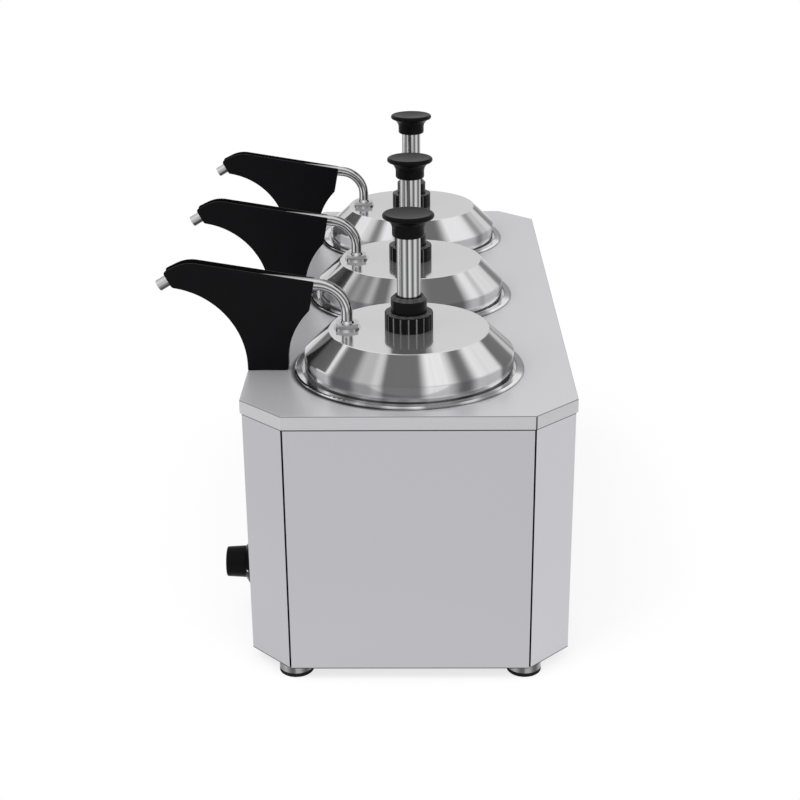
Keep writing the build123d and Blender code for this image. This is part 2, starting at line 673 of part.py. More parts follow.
with BuildPart() as tube_nut:
    with BuildSketch(Plane.XY.offset(LID_TOP)):
        with Locations((0, TUBE_Y)):
            Circle(NUT_WASHER_RADIUS)
    extrude(amount=NUT_WASHER_HEIGHT)
    with BuildSketch(Plane.XY.offset(LID_TOP + NUT_WASHER_HEIGHT)):
        with Locations((0, TUBE_Y)):
            RegularPolygon(NUT_FLATS / 2, 6, major_radius=False)
    extrude(amount=NUT_HEIGHT - NUT_WASHER_HEIGHT)
    with BuildSketch(Plane.XY.offset(LID_TOP + NUT_HEIGHT)):
        with Locations((0, TUBE_Y)):
            Circle(NUT_FERRULE_RADIUS)
    extrude(amount=NUT_FERRULE_HEIGHT, taper=NUT_FERRULE_TAPER)
    with BuildSketch(Plane.XY.offset(LID_TOP)):
        with Locations((0, TUBE_Y)):
            Circle(NUT_NECK_RADIUS)
    extrude(amount=-NUT_NECK_DEPTH)
    with Locations((0, TUBE_Y, LID_TOP)):
        Cylinder(TUBE_RADIUS, 4 * NUT_NECK_DEPTH, mode=Mode.SUBTRACT)
write_at_stations(tube_nut, "tube_nut")

# ==== spout cover =========================================================
# A hollow cover stands on the deck. It holds the tube's sloped run in a slot
# that is open along the top and at the nose, so that the pump lifts out.
SLOPE = tan(radians(TUBE_SLOPE))
TIP = tan(radians(TIP_SLOPE))
ELBOW_HEIGHT = TUBE_ELBOW_Z - DECK_TOP
RUN_DROP = TUBE_RADIUS / cos(radians(TUBE_SLOPE)) + HEATER_BAR_GAP
TIP_DROP = TUBE_RADIUS / cos(radians(TIP_SLOPE)) + HEATER_BAR_GAP
SLOT_TURN_Y = TUBE_ELBOW_Y + (TIP_DROP - RUN_DROP) / (SLOPE + TIP)
SLOT_TOP = 2 * ELBOW_HEIGHT


def cover_plane(x):
    """Plane at X = x whose own axes are Y and the height above the deck."""
    return Plane(origin=(x, 0, DECK_TOP), x_dir=(0, 1, 0), z_dir=(1, 0, 0))


def run_floor(y):
    """Height above the deck of the slot's floor, under the sloped run."""
    return ELBOW_HEIGHT - (y - TUBE_ELBOW_Y) * SLOPE - RUN_DROP


def tip_floor(y):
    """Height above the deck of the slot's floor, under the tip."""
    return ELBOW_HEIGHT + (y - TUBE_ELBOW_Y) * TIP - TIP_DROP


with BuildPart() as spout_cover:
    cheek = cover_plane(-COVER_THICKNESS / 2)
    with BuildSketch(cheek) as outline:
        with BuildLine():
            front_leg = Line((COVER_LEG_FRONT, 0), (COVER_LEG_FRONT, COVER_FRONT_START))
            front_centre = (COVER_LEG_FRONT - COVER_FRONT_SWEEP, COVER_FRONT_START)
            front_sweep = CenterArc(front_centre, COVER_FRONT_SWEEP, 0, COVER_TOE_ANGLE)
            back_leg = Line((COVER_LEG_BACK, 0), (COVER_LEG_BACK, COVER_BACK_START))
            back_centre = (COVER_LEG_BACK + COVER_BACK_SWEEP, COVER_BACK_START)
            back_sweep = CenterArc(back_centre, COVER_BACK_SWEEP, 180, -COVER_HEEL_ANGLE)
            FilletPolyline(
                back_sweep @ 1,
                COVER_BACK_TOP,
                COVER_CROWN,
                COVER_NOSE_TOP,
                front_sweep @ 1,
                radius=[COVER_CORNER_RADIUS, COVER_CROWN_RADIUS, COVER_NOSE_RADIUS],
            )
            Line(front_leg @ 0, back_leg @ 0)
        make_face()
        chin = outline.vertices().sort_by_distance(front_sweep @ 1)[0]
        fillet(chin, COVER_CHIN_RADIUS)
        toe = outline.vertices().sort_by_distance(front_leg @ 0)[0]
        fillet(toe, COVER_TOE_RADIUS)
        heel = outline.vertices().sort_by_distance(back_leg @ 0)[0]
        fillet(heel, COVER_HEEL_RADIUS)
    extrude(amount=COVER_THICKNESS)
    fillet(spout_cover.faces().filter_by(Axis.X).edges(), COVER_EDGE_ROUND)
    with BuildSketch(cover_plane(-COVER_SLOT / 2)):
        add(outline.sketch_local)
        offset(amount=-COVER_WALL, mode=Mode.REPLACE)
        with Locations((COVER_WIRE_Y, 0)):
            Rectangle(2 * COVER_FRONT_SWEEP, 2 * COVER_FOOT, mode=Mode.SUBTRACT)
        with BuildLine():
            Polyline(
                (0, run_floor(0)),
                (SLOT_TURN_Y, run_floor(SLOT_TURN_Y)),
                (COVER_MOUTH_Y, tip_floor(COVER_MOUTH_Y)),
                (COVER_MOUTH_Y, 0),
                (2 * COVER_MOUTH_Y, 0),
                (2 * COVER_MOUTH_Y, SLOT_TOP),
                (0, SLOT_TOP),
                close=True,
            )
        make_face()
    extrude(amount=COVER_SLOT, mode=Mode.SUBTRACT)
    with Locations((0, COVER_WIRE_Y, DECK_TOP)):
        Cylinder(COVER_WIRE_RADIUS, 4 * COVER_FOOT, mode=Mode.SUBTRACT)
    with Locations(*[(0, y, DECK_TOP) for y in COVER_SCREW_Y]):
        Cylinder(SCREW_RADIUS, 2 * SCREW_LENGTH, mode=Mode.SUBTRACT)
write_at_stations(spout_cover, "spout_cover")

# One straight heater bar lies in each cover, under the slot.
with BuildPart() as spout_heaters:
    with BuildSketch(cover_plane(-COVER_SLOT / 2)):
        with BuildLine():
            Polyline(
                (HEATER_BAR_START, run_floor(HEATER_BAR_START)),
                (HEATER_BAR_END, run_floor(HEATER_BAR_END)),
                (HEATER_BAR_END, run_floor(HEATER_BAR_END) - HEATER_BAR_HEIGHT),
                (HEATER_BAR_START, run_floor(HEATER_BAR_START) - HEATER_BAR_HEIGHT),
                close=True,
            )
        make_face()
    bar = extrude(amount=COVER_SLOT)
    with Locations((-PITCH, 0, 0), (PITCH, 0, 0)):
        add(bar)
write(spout_heaters, "spout_heaters")

# ==== well heaters ========================================================
# A band heater is clamped round each liner by two lugs at the back.
with BuildPart() as band_heaters:
    with BuildSketch(Plane.XY.offset(BAND_BOTTOM)):
        with Locations(*[(x, 0) for x in STATIONS.values()]):
            Circle(HOLE_RADIUS + LINER_SHEET + BAND_THICKNESS)
            Circle(HOLE_RADIUS + LINER_SHEET, mode=Mode.SUBTRACT)
            Rectangle(BAND_GAP, 2 * RIM_RADIUS, align=(Align.CENTER, Align.MIN), mode=Mode.SUBTRACT)
            with Locations((-BAND_GAP / 2 - LUG_THICKNESS / 2, 0), (BAND_GAP / 2 + LUG_THICKNESS / 2, 0)):
                with Locations((0, HOLE_RADIUS + LINER_SHEET + BAND_THICKNESS / 2)):
                    Rectangle(LUG_THICKNESS, LUG_LENGTH, align=(Align.CENTER, Align.MIN))
    extrude(amount=BAND_HEIGHT)
write(band_heaters, "band_heaters")

# ==== thermostats =========================================================
with BuildPart() as thermostats:
    for x in STATIONS.values():
        with Locations(facing(x, PANEL_SHEET - PANEL_Y, CONTROL_HEIGHT, (0, -1, 0))):
            Box(
                THERMOSTAT_WIDTH,
                THERMOSTAT_HEIGHT,
                THERMOSTAT_DEPTH,
                align=(Align.CENTER, Align.CENTER, Align.MAX),
            )
            Cylinder(
                THERMOSTAT_NECK,
                PANEL_SHEET + THERMOSTAT_NECK_LENGTH,
                align=(Align.CENTER, Align.CENTER, Align.MIN),
            )
        with BuildSketch(facing(x, -PANEL_Y, CONTROL_HEIGHT, (0, -1, 0))):
            RegularPolygon(THERMOSTAT_NUT_FLATS / 2, 6, major_radius=False)
        extrude(amount=THERMOSTAT_NUT_HEIGHT)
        with Locations(facing(x, -PANEL_Y - THERMOSTAT_NECK_LENGTH, CONTROL_HEIGHT, (0, -1, 0))):
            Hole(SPINDLE_RADIUS + CLEAR, THERMOSTAT_NECK_LENGTH + 2 * SPINDLE_DEPTH)
write(thermostats, "thermostats")

# The thermostat's spindle is one piece with the knob that turns it.
with BuildPart() as thermostat_knob:
    with BuildSketch(Plane.XY) as profile:
        with BuildLine():
            Polyline(
                (0, -SPINDLE_DEPTH),
                (SPINDLE_RADIUS, -SPINDLE_DEPTH),
                (SPINDLE_RADIUS, KNOB_RECESS_DEPTH),
                (KNOB_RECESS_RADIUS, KNOB_RECESS_DEPTH),
                (KNOB_RECESS_RADIUS, DIAL_BASE),
                (DIAL_RADIUS, DIAL_BASE),
                (DIAL_RADIUS, DIAL_RIM),
                (GRIP_BASE_RADIUS, DIAL_FACE),
                (GRIP_END_RADIUS, GRIP_LENGTH - GRIP_DOME),
                (0, GRIP_LENGTH),
                close=True,
            )
        make_face()
        ends = profile.vertices().group_by(Axis.Y)
        fillet(ends[-2], GRIP_ROUND)
    revolve(axis=Axis.Y)
for station, x in STATIONS.items():
    knob_plane = Plane(origin=(x, -PANEL_Y, CONTROL_HEIGHT), x_dir=(1, 0, 0), z_dir=(0, 0, -1))
    with BuildPart() as placed_knob:
        add(thermostat_knob.part.moved(knob_plane.location))
    write(placed_knob, f"thermostat_knob_{station}")

# ==== rear fittings =======================================================
with BuildPart() as gland_body:
    with BuildSketch(facing(GLAND_X, PANEL_Y, GLAND_HEIGHT, (0, 1, 0))):
        RegularPolygon(GLAND_FLATS / 2, 6, major_radius=False)
    extrude(amount=GLAND_FLANGE)
    with Locations(facing(GLAND_X, PANEL_Y - GLAND_TAIL, GLAND_HEIGHT, (0, 1, 0))):
        Cylinder(
            GLAND_THREAD,
            GLAND_TAIL + GLAND_FLANGE + GLAND_CAP - GLAND_CAP_FACE,
            align=(Align.CENTER, Align.CENTER, Align.MIN),
        )
        Cylinder(GLAND_BORE, 4 * (GLAND_TAIL + GLAND_CAP), mode=Mode.SUBTRACT)
write(gland_body, "gland_body")

with BuildPart() as gland_cap:
    with BuildSketch(facing(GLAND_X, PANEL_Y + GLAND_FLANGE, GLAND_HEIGHT, (0, 1, 0))):
        RegularPolygon(GLAND_FLATS / 2 - GLAND_CAP_STEP, 6, major_radius=False)
    extrude(amount=GLAND_CAP)
    fillet(gland_cap.faces().sort_by(Axis.Y)[-1].edges(), GLAND_CAP_ROUND)
    with Locations(facing(GLAND_X, PANEL_Y + GLAND_FLANGE, GLAND_HEIGHT, (0, 1, 0))):
        Cylinder(GLAND_THREAD, 2 * (GLAND_CAP - GLAND_CAP_FACE), mode=Mode.SUBTRACT)
        Cylinder(GLAND_BORE, 4 * GLAND_CAP, mode=Mode.SUBTRACT)
write(gland_cap, "gland_cap")

with BuildPart() as gland_locknut:
    with BuildSketch(facing(GLAND_X, PANEL_Y - PANEL_SHEET, GLAND_HEIGHT, (0, -1, 0))):
        RegularPolygon(GLAND_FLATS / 2, 6, major_radius=False)
        Circle(GLAND_THREAD, mode=Mode.SUBTRACT)
    extrude(amount=GLAND_NUT_HEIGHT)
write(gland_locknut, "gland_locknut")

SWITCH_PLANE = facing(SWITCH_X, PANEL_Y, SWITCH_HEIGHT, (0, 1, 0))
with BuildPart() as switch_housing:
    with BuildSketch(SWITCH_PLANE):
        Rectangle(SWITCH_WIDTH + SWITCH_LIP, SWITCH_LENGTH + SWITCH_LIP)
    extrude(amount=SWITCH_BEZEL)
    chamfer(switch_housing.faces().sort_by(Axis.Y)[-1].edges(), SWITCH_BEZEL / 3)
    with BuildSketch(SWITCH_PLANE):
        Rectangle(SWITCH_WIDTH, SWITCH_LENGTH)
    extrude(amount=-SWITCH_DEPTH)
    with BuildSketch(SWITCH_PLANE.offset(SWITCH_BEZEL)):
        Rectangle(ROCKER_WIDTH + 2 * CLEAR, ROCKER_LENGTH + 6 * CLEAR)
    extrude(amount=-SWITCH_POCKET, mode=Mode.SUBTRACT)
    with Locations(SWITCH_PLANE):
        Cylinder(PIN_RADIUS + CLEAR / 2, PIN_LENGTH + CLEAR, rotation=(0, 90, 0), mode=Mode.SUBTRACT)
write(switch_housing, "switch_housing")

with BuildPart() as switch_rocker:
    with BuildSketch(Plane(origin=(-ROCKER_WIDTH / 2, 0, 0), x_dir=(0, 0, 1), z_dir=(1, 0, 0))):
        with BuildLine():
            Polyline(
                (-ROCKER_LENGTH / 2, 0),
                (-ROCKER_LENGTH / 3, ROCKER_DEPTH),
                (ROCKER_LENGTH / 3, ROCKER_DEPTH),
                (ROCKER_LENGTH / 2, 0),
                (ROCKER_LENGTH / 2, -ROCKER_FACE),
                (0, -ROCKER_FACE / 2),
                (-ROCKER_LENGTH / 2, -ROCKER_FACE),
                close=True,
            )
        make_face()
    extrude(amount=ROCKER_WIDTH)
    Cylinder(PIN_RADIUS, PIN_LENGTH, rotation=(0, 90, 0))
ROCKER_PLACE = Location((SWITCH_X, PANEL_Y, SWITCH_HEIGHT), (-ROCKER_ANGLE, 0, 0))
with BuildPart() as placed_rocker:
    add(switch_rocker.part.moved(ROCKER_PLACE))
write(placed_rocker, "switch_rocker")

with BuildPart() as terminal_block:
    block_length, block_width, block_height = BLOCK_SIZE
    with Locations((BLOCK_X, BLOCK_Y, FOOT_HEIGHT + PANEL_SHEET)):
        Box(*BLOCK_SIZE, align=(Align.CENTER, Align.CENTER, Align.MIN))
    with BuildSketch(Plane.XY.offset(FOOT_HEIGHT + PANEL_SHEET + block_height)):
        with Locations((BLOCK_X, BLOCK_Y)):
            with GridLocations(block_length / BLOCK_POLES, block_width, BLOCK_POLES, 1):
                Rectangle(block_length / BLOCK_POLES - BLOCK_RIB, block_width)
    extrude(amount=-BLOCK_STEP, mode=Mode.SUBTRACT)
    with BuildSketch(Plane.XY.offset(FOOT_HEIGHT + PANEL_SHEET + block_height - BLOCK_STEP)):
        with Locations((BLOCK_X, BLOCK_Y)):
            with GridLocations(block_length / BLOCK_POLES, block_width / 2, BLOCK_POLES, 2):
                Circle(SCREW_HEAD_RADIUS)
    extrude(amount=SCREW_HEAD_HEIGHT)
write(terminal_block, "terminal_block")
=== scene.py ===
import bpy
import json
from math import atan, cos, pi, radians, sin, tan
from mathutils import Matrix, Vector


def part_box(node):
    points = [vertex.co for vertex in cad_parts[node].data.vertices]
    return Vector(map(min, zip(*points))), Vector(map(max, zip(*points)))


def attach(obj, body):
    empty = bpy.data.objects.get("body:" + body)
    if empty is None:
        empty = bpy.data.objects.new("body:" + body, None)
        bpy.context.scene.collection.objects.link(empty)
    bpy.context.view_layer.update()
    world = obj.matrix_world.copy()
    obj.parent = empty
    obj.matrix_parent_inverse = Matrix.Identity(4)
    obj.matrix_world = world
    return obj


# Looks of the three-well hot topping warmer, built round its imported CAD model.
# All sizes are metres, in the model's own frame: +X along the row of wells,
# the front is -Y, and the table is Z = 0.

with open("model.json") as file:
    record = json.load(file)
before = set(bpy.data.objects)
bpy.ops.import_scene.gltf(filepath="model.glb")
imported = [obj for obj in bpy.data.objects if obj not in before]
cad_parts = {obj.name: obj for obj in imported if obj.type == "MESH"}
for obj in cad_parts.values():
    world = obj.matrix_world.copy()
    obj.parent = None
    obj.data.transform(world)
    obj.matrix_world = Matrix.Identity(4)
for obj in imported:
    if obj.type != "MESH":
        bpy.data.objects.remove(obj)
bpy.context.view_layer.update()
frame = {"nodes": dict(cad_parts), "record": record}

STATIONS = ("left", "middle", "right")

# ---- camera --------------------------------------------------------------
CAMERA_PLACE = (1.3587, 0.03844, 0.6683)
CAMERA_YAW = 0.0158
CAMERA_PITCH = 0.3812
CAMERA_ROLL = -0.0091
CAMERA_LENS = 68.3

# ---- colours (linear) ----------------------------------------------------
PANEL_GREY = (0.505, 0.499, 0.526)
DECK_GREY = (0.600, 0.595, 0.621)
LID_GREY = (0.990, 0.985, 1.000)
CHROME_GREY = (0.900, 0.900, 0.910)
PUMP_GREY = (0.66, 0.66, 0.67)
LINER_GREY = (0.55, 0.55, 0.56)
HEATER_GREY = (0.35, 0.34, 0.32)
COVER_BLACK = (0.0038, 0.0038, 0.0044)
KNOB_BLACK = (0.0034, 0.0034, 0.0038)
COLLAR_BLACK = (0.0030, 0.0030, 0.0034)
RUBBER_BLACK = (0.0080, 0.0080, 0.0080)
VALVE_WHITE = (0.72, 0.72, 0.68)
THERMOSTAT_BROWN = (0.10, 0.07, 0.045)
BLOCK_CREAM = (0.68, 0.64, 0.52)
MARK_WHITE = (0.75, 0.75, 0.75)

# Painted reflections: soft light and dark bands round a spun piece come from noise: its scale round
# the piece, the noise values between which dark turns to light, and the
# brightness of the dark and the light bands.
REFLECTION_BAND_SCALE = 2.6
REFLECTION_BAND_EDGES = (0.42, 0.58)
CONE_REFLECTION_LEVELS = (0.14, 0.75)
SKIRT_REFLECTION_LEVELS = (0.16, 0.70)
SKIRT_FOOT_REFLECTION_LEVELS = (0.40, 0.95)
RIM_REFLECTION_LEVELS = (0.25, 0.90)
REFLECTION_BAND_OFFSETS = {"left": 1.0, "middle": 2.0, "right": 3.0}
LID_METALLIC = 0.90
# Shares of the piece's height where one zone of a lid or jar gives way to the next.
SKIRT_FOOT_TOP = (0.18, 0.30)
SKIRT_TOP = (0.47, 0.50)
CONE_TOP = (0.985, 0.998)
RIM_BOTTOM = (0.984, 0.988)
DISC_GREY = 0.70
INNER_GREY = 0.85

# The deck's brightness on its skirt, its folded edge and its top, painted darker on the
# skirt and the fold as shade, how far up a surface faces where each begins, and a painted
# dark line of shade at the bend of its rear corner, in metres from the rear.
SKIRT_SHADE = 0.78
DECK_CORNER = 0.0347
FOLD_STARTS = (0.14, 0.28)
TOP_STARTS = (0.84, 0.97)
TOP_SHADE = 0.87
FOLD_SHADE = 0.30
CORNER_BEND_SHADE = 0.06
CORNER_BEND_HALF = (0.0004, 0.0008)

# A thin dark line at the front left of each jar rim, where the rim hides the light.
RIM_LINE_SHADE = 0.10
RIM_LINE_RADIUS = (0.0945, 0.0985)
RIM_LINE_SIDE = (0.34, -0.94, 0)
RIM_LINE_SPAN = (0.10, 0.75)

# Painted shade in the gap under the deck's skirt, from its dark top to the lit panel.
GAP_SHADE = 0.03
GAP_HEIGHTS = (0.2183, 0.2188)
# A painted shadow line along the panels' foot, below these heights.
BOTTOM_SHADOW_SHADE = 0.10
BOTTOM_SHADOW_HEIGHTS = (0.0104, 0.0110)

# The rear corner panels catch a little more light.
OBLIQUE = (0.707, 0.707, 0)
OBLIQUE_SHADE = 1.14

# The collar's grooves, with a painted highlight in each: how far round one groove's pitch, then its
# brightness.
GROOVES = 18
GROOVE_HIGHLIGHT_STOPS = ((0.0, 0.0044), (0.36, 0.0056), (0.44, 1.0), (0.52, 1.0), (0.60, 0.0056), (1.0, 0.0044))
# The strength of the painted groove highlights, the height share above which they stop, and the brightness of
# the painted highlight on the upward edges.
GROOVE_HIGHLIGHT_STRENGTH = 0.35
RIB_TOP = (0.44, 0.47)
EDGE_HIGHLIGHT = 0.10

# Painted reflections: regular light and dark stripes along a round bar: how fast they follow each
# other round the bar, then the brightness of the dark and the light stripes.
PLUNGER_REFLECTION_STRIPES = (14.0, 0.12, 0.70)
TUBE_REFLECTION_STRIPES = (9.0, 0.12, 0.75)
FOOT_REFLECTION_STRIPES = (8.0, 0.12, 0.40)
NUT_REFLECTION_STRIPES = (8.0, 0.35, 0.90)

# Drops the height from a vector.
FLAT = (1, 1, 0)


class Graph:
    """The node graph of one material, with its Principled shader."""

    def __init__(self, name, **settings):
        self.material = bpy.data.materials.new(name)
        self.material.use_nodes = True
        self.tree = self.material.node_tree
        self.shader = self.tree.nodes["Principled BSDF"]
        for socket, value in settings.items():
            self.shader.inputs[socket.replace("_", " ")].default_value = value

    def node(self, kind, values=None, **properties):
        """Add a node. Values are plain numbers or the sockets that feed it."""
        node = self.tree.nodes.new(kind)
        for key, value in properties.items():
            setattr(node, key, value)
        for socket, value in (values or {}).items():
            if isinstance(value, bpy.types.NodeSocket):
                self.tree.links.new(value, node.inputs[socket])
            else:
                node.inputs[socket].default_value = value
        return node

    def math(self, operation, *values):
        """One Math node's result."""
        return self.node("ShaderNodeMath", dict(enumerate(values)), operation=operation).outputs[0]

    def vector(self, operation, *values):
        """One Vector Math node's vector."""
        node = self.node("ShaderNodeVectorMath", dict(enumerate(values)), operation=operation)
        return node.outputs["Vector"]

    def range(self, value, low, high):
        """A value from 0 to 1, moved to the range from low to high."""
        return self.math("MULTIPLY_ADD", value, high - low, low)

    def ramp(self, value, stops):
        """A grey colour ramp through (place, brightness) stops."""
        ramp = self.node("ShaderNodeValToRGB", {"Fac": value})
        elements = ramp.color_ramp.elements
        while len(elements) < len(stops):
            elements.new(0.5)
        for element, (place, brightness) in zip(elements, stops):
            element.position = place
            element.color = (brightness, brightness, brightness, 1)
        return ramp.outputs["Color"]

    def object_place(self, scale):
        """The place on the object in metres, scaled along each axis."""
        place = self.node("ShaderNodeTexCoord").outputs["Object"]
        return self.node("ShaderNodeMapping", {"Vector": place, "Scale": scale}).outputs["Vector"]

    def noise(self, place, scale, detail=2.0, roughness=0.5):
        """Noise from 0 to 1 over a place."""
        values = {"Vector": place, "Scale": scale, "Detail": detail, "Roughness": roughness}
        return self.node("ShaderNodeTexNoise", values).outputs["Fac"]

    def tint(self, colour, factor):
        """A colour times a grey factor."""
        values = {"Fac": 1.0, "Color1": (*colour, 1), "Color2": factor}
        return self.node("ShaderNodeMixRGB", values, blend_type="MULTIPLY").outputs["Color"]

    def feed(self, socket, value):
        """Link a value to one of the shader's sockets."""
        self.tree.links.new(value, self.shader.inputs[socket])

    def bump(self, height, distance, strength=1.0):
        """Give the shader a bumped normal. Distance is in metres."""
        values = {"Height": height, "Distance": distance, "Strength": strength}
        self.feed("Normal", self.node("ShaderNodeBump", values).outputs["Normal"])

    def mix(self, factor, low, high):
        """A blend of two colours."""
        values = {"Fac": factor, "Color1": low, "Color2": high}
        return self.node("ShaderNodeMixRGB", values).outputs["Color"]

    def shade(self, brightness, factor):
        """A grey brightness times a factor."""
        values = {"Fac": 1.0, "Color1": brightness, "Color2": factor}
        return self.node("ShaderNodeMixRGB", values, blend_type="MULTIPLY").outputs["Color"]

    def step(self, value, start, end):
        """0 below the start, 1 above the end, and smooth between them."""
        values = {"Value": value, "From Min": start, "From Max": end}
        return self.node("ShaderNodeMapRange", values, interpolation_type="SMOOTHSTEP").outputs[0]

    def dot(self, place, direction):
        """The dot product of a vector and a direction."""
        values = {0: place, 1: direction}
        return self.node("ShaderNodeVectorMath", values, operation="DOT_PRODUCT").outputs["Value"]

    def facing(self, direction):
        """How far the surface faces along a direction of the object, from -1 to 1."""
        return self.dot(self.node("ShaderNodeTexCoord").outputs["Normal"], direction)

    def spin_place(self):
        """Round the node's own upright axis: a unit vector outward, its azimuth in turns, and the
        height share."""
        place = self.node("ShaderNodeTexCoord").outputs["Generated"]
        moved = self.vector("ADD", place, (-0.5, -0.5, 0))
        around = self.vector("NORMALIZE", self.vector("MULTIPLY", moved, FLAT))
        parts = self.node("ShaderNodeSeparateXYZ", {"Vector": around})
        angle = self.math("ARCTAN2", parts.outputs["Y"], parts.outputs["X"])
        height = self.node("ShaderNodeSeparateXYZ", {"Vector": place}).outputs["Z"]
        return around, self.math("MULTIPLY_ADD", angle, 0.5 / pi, 0.5), height

    def reflection_streaks(self, around, brightness):
        """Faint painted reflection streaks outward from the axis, over the brightness of a spun piece."""
        streaks = self.noise(around, 14.0, detail=5.0, roughness=0.7)
        return self.shade(brightness, self.range(streaks, 0.90, 1.10))

    def centre_reach(self, centre):
        """The flat distance from an upright line in metres, and the direction away from it."""
        place = self.node("ShaderNodeTexCoord").outputs["Object"]
        flat = self.vector("MULTIPLY", self.vector("SUBTRACT", place, centre), FLAT)
        reach = self.node("ShaderNodeVectorMath", {0: flat}, operation="LENGTH").outputs["Value"]
        return reach, self.vector("NORMALIZE", flat)

    def axis(self, place, name):
        """One coordinate of a place."""
        return self.node("ShaderNodeSeparateXYZ", {"Vector": place}).outputs[name]

    def bands(self, around, offset, levels):
        """Painted reflection bands round a spun piece, placed by noise. The offset varies them."""
        values = {"Vector": around, "W": offset, "Scale": REFLECTION_BAND_SCALE, "Detail": 1.0}
        noise = self.node("ShaderNodeTexNoise", values, noise_dimensions="4D").outputs["Fac"]
        return self.range(self.step(noise, *REFLECTION_BAND_EDGES), *levels)

    def grey(self, brightness):
        """One brightness as a colour."""
        return (brightness, brightness, brightness, 1)


# ==== materials ===========================================================
ALONG_X = (6, 900, 900)
ALONG_Z = (900, 900, 6)


def sheet_metal(name, colour, grain, roughness=0.26):
    """Brushed sheet. Grain scales are per metre along X, Y and Z: low runs with the brushing."""
    graph = Graph(name, Metallic=1.0)
    streaks = graph.noise(graph.object_place(grain), 1.0, detail=3.0)
    clouds = graph.noise(graph.object_place((3, 3, 3)), 1.0, detail=1.0)
    both = graph.math("MULTIPLY", graph.range(streaks, 0.985, 1.015), graph.range(clouds, 0.97, 1.03))
    height = graph.axis(graph.object_place((1, 1, 1)), "Z")
    # Painted shade in the gap under the deck's skirt and a painted shadow line at the panels' foot; panels
    # facing the rear corners get painted light.
    gap = graph.range(graph.step(height, *GAP_HEIGHTS), 1.0, GAP_SHADE)
    bottom_shadow = graph.range(graph.step(height, *BOTTOM_SHADOW_HEIGHTS), BOTTOM_SHADOW_SHADE, 1.0)
    lines = graph.math("MULTIPLY", gap, bottom_shadow)
    oblique = graph.range(graph.step(graph.facing(OBLIQUE), 0.85, 0.95), 1.0, OBLIQUE_SHADE)
    shades = graph.math("MULTIPLY", both, graph.math("MULTIPLY", lines, oblique))
    graph.feed("Base Color", graph.tint(colour, shades))
    graph.feed("Roughness", graph.range(streaks, roughness - 0.02, roughness + 0.02))
    graph.bump(streaks, 0.000002, 0.2)
    return graph.material


def deck_metal(name):
    """Satin sheet with soft reflections, painted shade on its folded edge and its skirt, a painted dark line
    at its rear corner's bend and a painted shadow line by each jar rim.
    """
    graph = Graph(name, Metallic=0.45)
    streaks = graph.noise(graph.object_place(ALONG_X), 1.0, detail=3.0)
    clouds = graph.noise(graph.object_place((3, 3, 3)), 1.0, detail=1.0)
    both = graph.math("MULTIPLY", graph.range(streaks, 0.975, 1.025), graph.range(clouds, 0.97, 1.03))
    low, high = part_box("deck")
    upward = graph.facing((0, 0, 1))
    place = graph.axis(graph.object_place((1, 1, 1)), "Y")
    # Painted shade: a thin dark line at the bend of the rear corner.
    corner = graph.math("ABSOLUTE", graph.math("SUBTRACT", place, high[1] - DECK_CORNER))
    bend_shade = graph.range(graph.step(corner, *CORNER_BEND_HALF), CORNER_BEND_SHADE, 1.0)
    skirt = graph.math("MULTIPLY", bend_shade, SKIRT_SHADE)
    # Painted shade: the skirt and the folded edge are darker than the top.
    sides = graph.mix(graph.step(upward, *FOLD_STARTS), skirt, graph.grey(FOLD_SHADE))
    shade = graph.mix(graph.step(upward, *TOP_STARTS), sides, graph.grey(TOP_SHADE))
    shades = both
    # Painted shadow: a thin dark line by the front left of each jar rim.
    for station in STATIONS:
        low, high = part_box(f"jar_{station}")
        centre = ((low[0] + high[0]) / 2, (low[1] + high[1]) / 2, 0)
        reach, away = graph.centre_reach(centre)
        side = graph.dot(away, RIM_LINE_SIDE)
        inside = graph.range(graph.step(reach, *RIM_LINE_RADIUS), 1.0, 0.0)
        line = graph.math("MULTIPLY", inside, graph.step(side, *RIM_LINE_SPAN))
        shades = graph.math("MULTIPLY", shades, graph.range(line, 1.0, RIM_LINE_SHADE))
    graph.feed("Base Color", graph.tint(DECK_GREY, graph.shade(shade, shades)))
    graph.feed("Roughness", graph.range(streaks, 0.28, 0.36))
    graph.bump(streaks, 0.000004, 0.4)
    return graph.material


def finish_spun(graph, colour, brightness, roughness):
    """Fine rings over a spun piece."""
    graph.feed("Base Color", graph.tint(colour, brightness))
    rings = graph.noise(graph.object_place((60, 60, 2500)), 1.0)
    graph.feed("Roughness", graph.range(rings, roughness * 0.8, roughness * 1.2))
    graph.bump(rings, 0.000004, 0.3)
    return graph.material


def lid_metal(name, offset):
    """A spun lid: a plain bright disc, and painted reflection bands on the cone, the skirt and the skirt's
    foot.
    """
    graph = Graph(name, Metallic=LID_METALLIC)
    around, _, height = graph.spin_place()
    cone = graph.bands(around, offset, CONE_REFLECTION_LEVELS)
    foot = graph.bands(around, offset, SKIRT_FOOT_REFLECTION_LEVELS)
    skirt = graph.mix(graph.step(height, *SKIRT_FOOT_TOP), foot, graph.bands(around, offset, SKIRT_REFLECTION_LEVELS))
    sides = graph.reflection_streaks(around, graph.mix(graph.step(height, *SKIRT_TOP), skirt, cone))
    brightness = graph.mix(graph.step(height, *CONE_TOP), sides, graph.grey(DISC_GREY))
    return finish_spun(graph, LID_GREY, brightness, 0.10)


def jar_metal(name):
    """A spun jar with a bright rolled rim, which carries painted reflection bands and streaks."""
    graph = Graph(name, Metallic=1.0)
    around, _, height = graph.spin_place()
    rim = graph.reflection_streaks(around, graph.bands(around, 0.0, RIM_REFLECTION_LEVELS))
    brightness = graph.mix(graph.step(height, *RIM_BOTTOM), graph.grey(INNER_GREY), rim)
    return finish_spun(graph, LID_GREY, brightness, 0.14)


